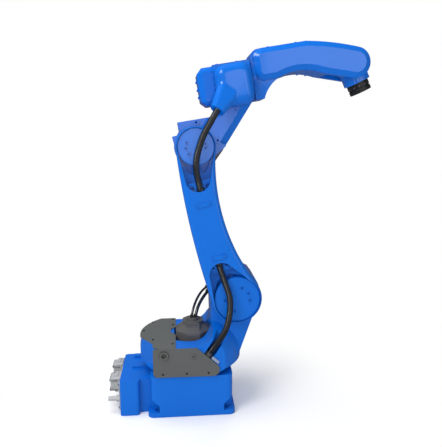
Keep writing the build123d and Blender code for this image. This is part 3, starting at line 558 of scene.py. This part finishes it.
for side in (-1, 1):
    for end in (-1, 1):
        seat = shoulder + Vector((side, 0, end)) * shoulder_flange_reach * millimetre
        seat += away * shoulder_flange_face * millimetre
        motor_seats.append((seat, away, *shoulder_flange_screw))
add_screws("motor_screws", "turret", "flange_dark", motor_seats)

# %% Screws of the lower arm
pad_face = -168
pad_screw = (3.4, 1.6)
clamp_screw = (4.5, 3)
pad_screws = ((-47, 181), (-7, 181), (-50, 386), (-10, 386))
clamp_face = -145
clamp_screws = ((-66, 130), (2, 130), (-52, 463), (4, 463))
arm_seats = [(on_arm(u, v, pad_face), near, *pad_screw) for u, v in pad_screws]
arm_seats += [(on_arm(u, v, clamp_face), near, *clamp_screw) for u, v in clamp_screws]
add_screws("arm_screws", "lower_arm", "blue_paint", arm_seats)

# %% Screws in the bosses of the two discs
disc_face = -153
low_boss_radius = 3.3
high_boss_radius = 2.8
boss_screw_height = 1.6
low_boss_reach = 48
low_boss_turns = (55, 15, -20, -119, 168)
high_boss_reach = 36
high_boss_turns = (142, 175, 210, -22, 2)
arm_length = (elbow - shoulder).length / millimetre
for name, radius, reach, middle, turns in (
    ("low_boss_screws", low_boss_radius, low_boss_reach, 0, low_boss_turns),
    ("high_boss_screws", high_boss_radius, high_boss_reach, arm_length, high_boss_turns),
):
    boss_seats = []
    for turn in turns:
        u = reach * cos(radians(turn))
        v = middle + reach * sin(radians(turn))
        boss_seats.append((on_arm(u, v, disc_face), near, radius, boss_screw_height))
    # the sunk screws take the darker blue of painted shade
    add_screws(name, "lower_arm", "blue_paint", boss_seats, "painted_shade_blue")

# %% Screws of the elbow
cap_face = 52
cap_screw = (4.5, 4)
rim_screw = (3.8, 4)
box_screw = (5, 4)
neck_screw = (4, 3)
neck_place = (172, -100)
elbow_boss_screw = (4.2, 3)
elbow_flange_screw = (6, 6)
cap_screws = ((-42, 30), (-42, 0), (-42, -28), (42, 30), (42, 0), (42, -28))
box_rear_face = 112
box_rim = 74.5
rim_screws = (50, 30, 8, -14, -36, -56)
box_top = 72
box_top_screws = ((132, -50), (206, -50), (132, 50), (206, 50))
elbow_near_face = -74
elbow_flange_face = 88
elbow_flange_reach = 62
elbow_motor_s = 44
elbow_motor_t = -231
elbow_seats = [(on_forearm(cap_face, t, y), -roll_along, *cap_screw) for y, t in cap_screws]
for side in (-box_rim, box_rim):
    for t in rim_screws:
        elbow_seats.append((on_forearm(box_rear_face, t, side), -roll_along, *rim_screw))
elbow_seats += [(on_forearm(s, box_top, y), roll_up, *box_screw) for s, y in box_top_screws]
elbow_seats.append((on_forearm(*neck_place, elbow_near_face), near, *neck_screw))
add_screws("elbow_screws", "elbow", "blue_paint", elbow_seats)

# %% Screws in the bosses and on the motor of the elbow
elbow_boss_reach = 88
elbow_boss_turns = (77, 5)
elbow_drop = (elbow - roll_start).dot(roll_up) / millimetre
elbow_boss_seats = []
for turn in elbow_boss_turns:
    s = elbow_boss_reach * cos(radians(turn))
    t = elbow_drop + elbow_boss_reach * sin(radians(turn))
    elbow_boss_seats.append((on_forearm(s, t, elbow_near_face), near, *elbow_boss_screw))
# the sunk screws take the darker blue of painted shade
add_screws("elbow_boss_screws", "elbow", "blue_paint", elbow_boss_seats, "painted_shade_blue")
flange_seats = []
for ahead, above in ((1, 0), (-1, 0), (0, 1), (0, -1)):
    s = elbow_motor_s + elbow_flange_reach * ahead
    t = elbow_motor_t + elbow_flange_reach * above
    flange_seats.append((on_forearm(s, t, elbow_flange_face), away, *elbow_flange_screw))
add_screws("elbow_motor_screws", "elbow", "flange_dark", flange_seats)

# %% Screws of the forearm
forearm_top = 105
top_screw = (4.5, 4)
belly_screw = (4, 3)
top_screws = ((330, -50), (436, -50), (330, 50), (436, 50))
belly_screws = ((457, 2), (490, -6))
cover_edge = 70
forearm_seats = [(on_forearm(s, forearm_top, y), roll_up, *top_screw) for s, y in top_screws]
for side in (-cover_edge, cover_edge):
    forearm_seats += [(on_forearm(s, t, side), -roll_up, *belly_screw) for s, t in belly_screws]
add_screws("forearm_screws", "forearm", "blue_paint", forearm_seats)

# %% Screws of the hand
wrist = Vector(joints["wrist_bend"]["pos_m"])
collar_reach = 88
collar_screw = (2.2, 0.8)
collar_radius = 42
collar_screw_count = 12
collar_side = hand_along.cross(away)
collar_seats = []
for i in range(collar_screw_count):
    turn = 2 * pi * (i + 0.5) / collar_screw_count
    way = away * cos(turn) + collar_side * sin(turn)
    middle = wrist + hand_along * collar_reach * millimetre
    collar_seats.append((middle + way * collar_radius * millimetre, way, *collar_screw))
add_screws("collar_screws", "hand", "bearing_steel", collar_seats)

# %% Screws of the base
panel_face_x = -285
panel_screw = (4, 3)
connector_screw = (2.6, 2)
panel_screws = ((-112, 28), (-112, 124), (112, 28), (112, 124), (0, 28))
power_corners = ((36, 66), (36, 134), (108, 66), (108, 100))
signal_corners = ((-68, 72), (-68, 124), (4, 72), (4, 124))
base_seats = [(on_robot(panel_face_x, y, z), -forward, *panel_screw) for y, z in panel_screws]
for y, z in power_corners + signal_corners:
    base_seats.append((on_robot(panel_face_x, y, z), -forward, *connector_screw))
add_screws("base_screws", "base", "flange_dark", base_seats)

# %% [markdown]
# The two conduits are ribbed rubber hose. Each follows a smooth NURBS line through the route of its
# CAD solid, and a second Geometry Nodes tree turns that line into a tube whose radius swells and
# shrinks with each rib. Each hose takes the place of its CAD solid, which is hidden.

# %% The tree that makes ribbed hose
hose_tree = bpy.data.node_groups.new("ribbed_hose", "GeometryNodeTree")
hose_tree.interface.new_socket("Line", in_out="INPUT", socket_type="NodeSocketGeometry")
radius_input = hose_tree.interface.new_socket(
    "Radius", in_out="INPUT", socket_type="NodeSocketFloat"
)
pitch_input = hose_tree.interface.new_socket(
    "Rib pitch", in_out="INPUT", socket_type="NodeSocketFloat"
)
depth_input = hose_tree.interface.new_socket(
    "Rib depth", in_out="INPUT", socket_type="NodeSocketFloat"
)
cover_input = hose_tree.interface.new_socket(
    "Finish", in_out="INPUT", socket_type="NodeSocketMaterial"
)
hose_tree.interface.new_socket("Hose", in_out="OUTPUT", socket_type="NodeSocketGeometry")
steps_per_rib = 6
hose_sides = 20


def hose_node(kind, **settings):
    """A node of the hose tree with some of its settings."""
    node = hose_tree.nodes.new(kind)
    for key, value in settings.items():
        setattr(node, key, value)
    return node

# %% Nodes of the hose tree
hose_in = hose_node("NodeGroupInput")
hose_out = hose_node("NodeGroupOutput")
step = hose_node("ShaderNodeMath", operation="DIVIDE")
step.inputs[1].default_value = steps_per_rib
resample = hose_node("GeometryNodeResampleCurve", mode="LENGTH")
counter = hose_node("GeometryNodeInputIndex")
phase = hose_node("ShaderNodeMath", operation="MULTIPLY")
phase.inputs[1].default_value = 2 * pi / steps_per_rib
wave = hose_node("ShaderNodeMath", operation="COSINE")
dip = hose_node("ShaderNodeMath", operation="MULTIPLY_ADD")
half_depth = hose_node("ShaderNodeMath", operation="MULTIPLY")
half_depth.inputs[1].default_value = 0.5
mean = hose_node("ShaderNodeMath", operation="SUBTRACT")
swell = hose_node("GeometryNodeSetCurveRadius")
section = hose_node("GeometryNodeCurvePrimitiveCircle", mode="RADIUS")
section.inputs["Resolution"].default_value = hose_sides
section.inputs["Radius"].default_value = 1
skin_hose = hose_node("GeometryNodeCurveToMesh")
skin_hose.inputs["Fill Caps"].default_value = True
smooth_hose = hose_node("GeometryNodeSetShadeSmooth")
whole_hose = hose_node("GeometryNodeRealizeInstances")
dress_hose = hose_node("GeometryNodeSetMaterial")

# %% Wires of the hose tree
wire = hose_tree.links.new
wire(hose_in.outputs["Rib pitch"], step.inputs[0])
wire(hose_in.outputs["Line"], resample.inputs["Curve"])
wire(step.outputs[0], resample.inputs["Length"])
wire(counter.outputs[0], phase.inputs[0])
wire(phase.outputs[0], wave.inputs[0])
wire(hose_in.outputs["Rib depth"], half_depth.inputs[0])
wire(hose_in.outputs["Radius"], mean.inputs[0])
wire(half_depth.outputs[0], mean.inputs[1])
wire(wave.outputs[0], dip.inputs[0])
wire(half_depth.outputs[0], dip.inputs[1])
wire(mean.outputs[0], dip.inputs[2])
wire(resample.outputs["Curve"], swell.inputs["Curve"])
wire(dip.outputs[0], swell.inputs["Radius"])
wire(swell.outputs["Curve"], skin_hose.inputs["Curve"])
wire(section.outputs["Curve"], skin_hose.inputs["Profile Curve"])
if "Scale" in skin_hose.inputs:
    wire(dip.outputs[0], skin_hose.inputs["Scale"])
wire(skin_hose.outputs["Mesh"], smooth_hose.inputs[0])
wire(smooth_hose.outputs[0], whole_hose.inputs["Geometry"])
wire(whole_hose.outputs["Geometry"], dress_hose.inputs["Geometry"])
wire(hose_in.outputs["Finish"], dress_hose.inputs["Material"])
wire(dress_hose.outputs["Geometry"], hose_out.inputs["Hose"])


line_steps = 16


def smooth_line(name, route):
    """A smooth NURBS line that has the points of a route as its control points."""
    data = bpy.data.curves.new(name, "CURVE")
    data.dimensions = "3D"
    data.resolution_u = line_steps
    spline = data.splines.new("NURBS")
    spline.points.add(len(route) - 1)
    for point, place in zip(spline.points, route):
        point.co = (*place, 1)
    spline.order_u = 3
    spline.use_endpoint_u = True
    line = bpy.data.objects.new(name, data)
    scene.collection.objects.link(line)
    return line


def hose_mesh(name, route, radius, pitch, depth):
    """Ribbed or plain hose along a route, sizes in millimetres."""
    carrier = smooth_line(name + "_line", route)
    modifier = carrier.modifiers.new("hose", "NODES")
    modifier.node_group = hose_tree
    modifier[radius_input.identifier] = radius * millimetre
    modifier[pitch_input.identifier] = pitch * millimetre
    modifier[depth_input.identifier] = depth * millimetre
    modifier[cover_input.identifier] = finishes["conduit_rubber"]
    return plain_mesh(carrier, name)

# %% The two conduits
conduit_radius = 12
conduit_pitch = 4.5
conduit_rib = 0.9
lower_route = (
    (0.0619, -0.1380, 0.2440),
    (0.0800, -0.1424, 0.2681),
    (0.0989, -0.1547, 0.3002),
    (0.1181, -0.1710, 0.3351),
    (0.1329, -0.1802, 0.3700),
    (0.1430, -0.1820, 0.4121),
    (0.1471, -0.1798, 0.4560),
    (0.1443, -0.1758, 0.4961),
    (0.1286, -0.1691, 0.5401),
    (0.1163, -0.1539, 0.5760),
    (0.1074, -0.1490, 0.6082),
    (0.0987, -0.1490, 0.6405),
)
upper_route = (
    (0.0474, -0.1490, 0.8628),
    (0.0368, -0.1490, 0.9026),
    (0.0273, -0.1539, 0.9409),
    (0.0221, -0.1681, 0.9768),
    (0.0251, -0.1764, 1.0128),
    (0.0357, -0.1810, 1.0494),
    (0.0492, -0.1794, 1.0882),
    (0.0855, -0.1600, 1.1496),
    (0.1136, -0.1364, 1.1945),
)


def add_conduit(name, route, node):
    """A ribbed conduit along a fixed route that stands for its CAD solid, which is hidden."""
    mesh = hose_mesh(name, route, conduit_radius, conduit_pitch, conduit_rib)
    piece = bpy.data.objects.new(name, mesh)
    scene.collection.objects.link(piece)
    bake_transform(piece)
    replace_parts(piece, node)
    print(name, len(mesh.polygons), "faces")


add_conduit("lower_hose", lower_route, "lower_conduit")
add_conduit("upper_hose", upper_route, "upper_conduit")

# %% [markdown]
# Two plain leads run from the swivel motor to the shoulder motor. Both motors ride on the turret,
# so the leads never bend. They use the hose tree with ribs of no depth.

# %% The two motor leads
power_lead_radius = 6.5
signal_lead_radius = 5
lead_pitch = 6
no_rib = 0
power_route = (
    (0.0220, -0.0020, 0.3528),
    (0.0275, 0.0063, 0.3750),
    (0.0360, 0.0210, 0.3930),
    (0.0465, 0.0405, 0.4057),
    (0.0572, 0.0610, 0.4144),
    (0.0680, 0.0823, 0.4210),
    (0.0790, 0.1040, 0.4270),
)
signal_route = (
    (0.006, 0.000, 0.3518),
    (0.009, 0.004, 0.366),
    (0.014, 0.013, 0.384),
    (0.022, 0.030, 0.401),
    (0.033, 0.054, 0.416),
    (0.047, 0.082, 0.428),
    (0.062, 0.108, 0.436),
    (0.0765, 0.1279, 0.4405),
)
for name, route, node, radius in (
    ("power_cable", power_route, "power_lead", power_lead_radius),
    ("signal_cable", signal_route, "signal_lead", signal_lead_radius),
):
    mesh = hose_mesh(name, route, radius, lead_pitch, no_rib)
    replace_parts(add_piece(name, mesh, "turret", "conduit_rubber"), node)

# %% [markdown]
# Turned parts: the nuts and rings that hold the conduits and leads, and the plug and the stud of
# the grey side cover. Each is a profile of distances and radii, spun round a line, with as many
# sides as it needs.

# %% Turned parts


def turned(name, profile, place, way, sides):
    """A mesh spun round a line: the profile gives distance along it and radius, in millimetres."""
    shape = bmesh.new()
    loops = []
    for distance, radius in profile:
        loops.append(
            [
                shape.verts.new(
                    (
                        radius * millimetre * cos(2 * pi * i / sides),
                        radius * millimetre * sin(2 * pi * i / sides),
                        distance * millimetre,
                    )
                )
                for i in range(sides)
            ]
        )
    for lower, upper in zip(loops, loops[1:]):
        for i in range(sides):
            j = (i + 1) % sides
            shape.faces.new((lower[i], lower[j], upper[j], upper[i]))
    shape.faces.new(reversed(loops[0]))
    shape.faces.new(loops[-1])
    turn = Vector(way).to_track_quat("Z", "Y").to_matrix().to_4x4()
    shape.transform(Matrix.Translation(place) @ turn)
    mesh = bpy.data.meshes.new(name)
    shape.to_mesh(mesh)
    shape.free()
    return mesh


round_sides = 32
nut_sides = 6
gland_profile = ((0, 15.5), (9, 15.5), (10, 14.5), (13, 14.5), (14, 13.5), (18, 13))
ring_profile = ((0, 12.5), (0, 14.8), (1, 15.5), (6, 15.5), (7, 14.8), (7, 12.5))
power_nut_profile = ((0, 8.6), (6, 8.6), (7, 7.8), (11, 7.4), (12, 6.8))
signal_nut_profile = ((0, 7.0), (6, 7.0), (7, 6.4), (10, 6.0), (11, 5.3))
plug_profile = (
    (-5.5, 10.8),
    (5.05, 10.8),
    (5.05, 16.9),
    (5.8, 16.3),
    (6, 15.6),
    (6, 11.2),
    (5.6, 10.4),
    (-4, 10),
    (-4, 1),
)
stud_profile = (
    (0, 4.9),
    (6, 4.9),
    (6, 10.5),
    (8.2, 10.5),
    (9, 9.5),
    (9, 4.8),
    (8.6, 4.4),
    (3.5, 4.2),
    (3.5, 1),
)
lower_way = Vector(lower_route[1]) - Vector(lower_route[0])
side_hole = on_robot(-105, -164, 260)
pin_hole = on_robot(7, -158, 253)
arm_low_ring = on_arm(-32, 150, -149)
arm_high_ring = on_arm(-24, 445, -149)
power_start = Vector(power_route[0])
signal_start = Vector(signal_route[0])
lower_start = Vector(lower_route[0])
rubber = "conduit_rubber"
for name, profile, place, way, body, slot, sides in (
    ("lower_gland", gland_profile, lower_start, lower_way, "turret", "motor_black", round_sides),
    ("low_ring", ring_profile, arm_low_ring, arm_along, "lower_arm", rubber, round_sides),
    ("high_ring", ring_profile, arm_high_ring, -arm_along, "lower_arm", rubber, round_sides),
    ("power_nut", power_nut_profile, power_start, upward, "turret", rubber, nut_sides),
    ("signal_nut", signal_nut_profile, signal_start, upward, "turret", rubber, nut_sides),
    ("side_plug", plug_profile, side_hole, near, "turret", "cover_grey", round_sides),
    ("side_stud", stud_profile, pin_hole, near, "turret", "cover_grey", round_sides),
):
    add_piece(name, turned(name, profile, place, way, sides), body, slot)

# %% [markdown]
# Two wire bails hold the hood of each connector: bent rods that reach from one side of the housing
# round the hood to the other side. They use the hose tree with ribs of no depth.

# %% Connector bails


def joined(name, meshes):
    """One mesh from several."""
    shape = bmesh.new()
    for mesh in meshes:
        shape.from_mesh(mesh)
    whole = bpy.data.meshes.new(name)
    shape.to_mesh(whole)
    shape.free()
    return whole


bail_radius = 2.2
bail_root_x = -297
bail_shoulder_x = -318
bail_back_x = -326.5
bail_side_gap = 3
bail_corner = 9
for name, left, right, heights in (
    ("power_bails", 41, 103, (74, 126)),
    ("signal_bails", -63, -1, (78, 118)),
):
    rods = []
    for z in heights:
        near_y = left - bail_side_gap
        far_y = right + bail_side_gap
        bail_route = (
            on_robot(bail_root_x, near_y, z),
            on_robot(bail_shoulder_x, near_y, z),
            on_robot(bail_back_x, near_y, z),
            on_robot(bail_back_x, near_y + bail_corner, z),
            on_robot(bail_back_x, far_y - bail_corner, z),
            on_robot(bail_back_x, far_y, z),
            on_robot(bail_shoulder_x, far_y, z),
            on_robot(bail_root_x, far_y, z),
        )
        rods.append(hose_mesh(name, bail_route, bail_radius, conduit_pitch, no_rib))
    add_piece(name, joined(name, rods), "base", "bearing_steel")

# %% [markdown]
# A cast rib stands on the front of the swivel motor and runs up over its sloping shoulder. Its side
# outline is pulled across the motor's middle and its edges are bevelled.

# %% Motor rib
rib_left_x = -17
rib_right_x = 39
rib_bevel = 3
rib_segments = 3
rib_outline = (
    (-66, 217),
    (-74, 217),
    (-74, 304),
    (-60, 314),
    (-48, 326),
    (-48, 341),
    (-38, 341),
    (-38, 320),
)
rib = bmesh.new()
rib_sides = []
for x in (rib_left_x, rib_right_x):
    rib_sides.append([rib.verts.new(on_robot(x, y, z)) for y, z in rib_outline])
rib.faces.new(rib_sides[0])
rib.faces.new(reversed(rib_sides[1]))
for i in range(len(rib_outline)):
    j = (i + 1) % len(rib_outline)
    rib.faces.new((rib_sides[0][j], rib_sides[0][i], rib_sides[1][i], rib_sides[1][j]))
bmesh.ops.recalc_face_normals(rib, faces=rib.faces)
bmesh.ops.bevel(
    rib,
    geom=rib.edges,
    offset=rib_bevel * millimetre,
    segments=rib_segments,
    affect="EDGES",
    clamp_overlap=True,
)
rib_mesh = bpy.data.meshes.new("motor_rib")
rib.to_mesh(rib_mesh)
rib.free()
add_piece("motor_rib", rib_mesh, "turret", "motor_black")
